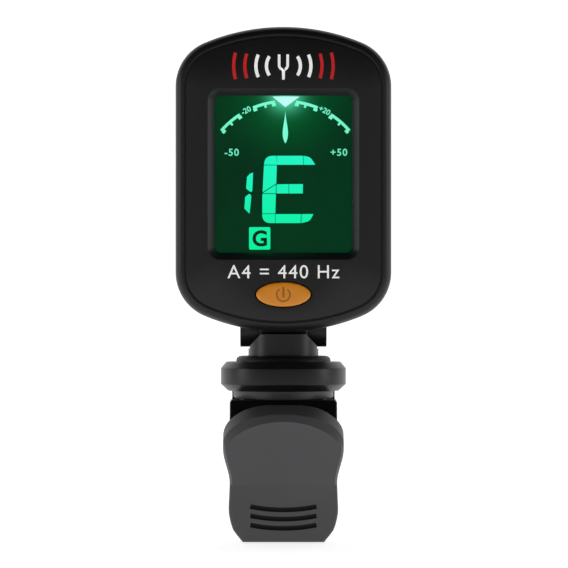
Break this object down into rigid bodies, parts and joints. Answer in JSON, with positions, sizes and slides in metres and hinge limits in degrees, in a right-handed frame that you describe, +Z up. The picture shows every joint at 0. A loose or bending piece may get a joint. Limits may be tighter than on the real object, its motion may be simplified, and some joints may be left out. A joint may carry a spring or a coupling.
{
  "type": "clip on tuner",
  "caption": "Clip-on instrument tuner: a sprung jaw clip with rubber pads carries a swivelling, tilting head with a lit display and a power button.",
  "frame": {"origin": "middle of the grip, between the two rubber pads", "axes": "+Z up along the head's height, the display faces -Y, +X to the viewer's right"},
  "size_m": [0.037, 0.0323, 0.088],
  "materials": {
    "case_black": "fine satin moulding, near black",
    "lever_grey": "satin moulding, dark grey",
    "clip_black": "satin moulding, near black",
    "button_orange": "smooth orange button",
    "lens_clear": "clear window",
    "display_green": "dark green display with bright green signs",
    "frame_white": "white moulding",
    "led_yellow": "small light-emitting chips",
    "elastomer": "striped elastomer connector",
    "board_green": "circuit board with solder mask",
    "epoxy_black": "epoxy drop and chip bodies",
    "steel": "plain steel",
    "nickel": "nickel-plated steel",
    "brass_disc": "thin brass disc with a ceramic face",
    "wire_red": "insulated hook-up wire",
    "nylon_white": "white nylon",
    "pad_rubber": "matt black rubber"
  },
  "bodies": {
    "clip": {"clip_body": "clip_black", "rear_pad": "pad_rubber", "pivot_pin": "steel", "torsion_spring": "steel", "swivel_housing": "clip_black", "spring_washer": "steel", "hub_screws": "steel", "dust_ring": "pad_rubber"},
    "lever": {"front_lever": "lever_grey", "front_pad": "pad_rubber"},
    "stem": {"stem": "clip_black"},
    "head": {"front_case": "case_black", "rear_case": "case_black", "window_lens": "lens_clear", "lcd_glass": "display_green", "lcd_frame": "frame_white", "backlight_panel": "frame_white", "backlight_leds": "led_yellow", "zebra_strip": "elastomer", "circuit_board": "board_green", "controller_blob": "epoxy_black", "crystal": "nickel", "board_components": "epoxy_black", "tact_switch": "steel", "battery": "nickel", "contact_positive": "nickel", "contact_negative": "nickel", "piezo_sensor": "brass_disc", "piezo_wires": "wire_red", "case_screws": "steel", "tilt_pin": "steel", "hinge_washers": "nylon_white"},
    "door": {"battery_door": "case_black"},
    "button": {"power_button": "button_orange"},
    "plunger": {"switch_plunger": "nylon_white"}
  },
  "joints": [
    {"name": "jaw_open", "type": "hinge", "parent": "clip", "child": "lever", "pos_m": [0, 0, 0.013], "axis": [-1, 0, 0], "range_deg": [0, 46], "stiffness_Nm_per_rad": 0.05, "springref_deg": -45.84, "deforming": ["torsion_spring"]},
    {"name": "swivel_turn", "type": "hinge", "parent": "clip", "child": "stem", "pos_m": [0, 0.009, 0.0235], "axis": [0, 0, 1], "continuous": true},
    {"name": "head_tilt", "type": "hinge", "parent": "stem", "child": "head", "pos_m": [0, 0.0105, 0.03145], "axis": [-1, 0, 0], "range_deg": [0, 90]},
    {"name": "button_press", "type": "slide", "parent": "head", "child": "button", "axis": [0, 1, 0], "range_m": [0, 0.0003], "stiffness_N_per_m": 600, "springref_m": -0.0005},
    {"name": "plunger_press", "type": "slide", "parent": "head", "child": "plunger", "axis": [0, 1, 0], "range_m": [0, 0.0003]},
    {"name": "door_open", "type": "hinge", "parent": "head", "child": "door", "pos_m": [0, 0.0134, 0.045], "axis": [-1, 0, 0], "range_deg": [0, 50]}
  ],
  "couplings": [
    {"joint": "plunger_press", "follows": "button_press", "ratio": 1}
  ]
}
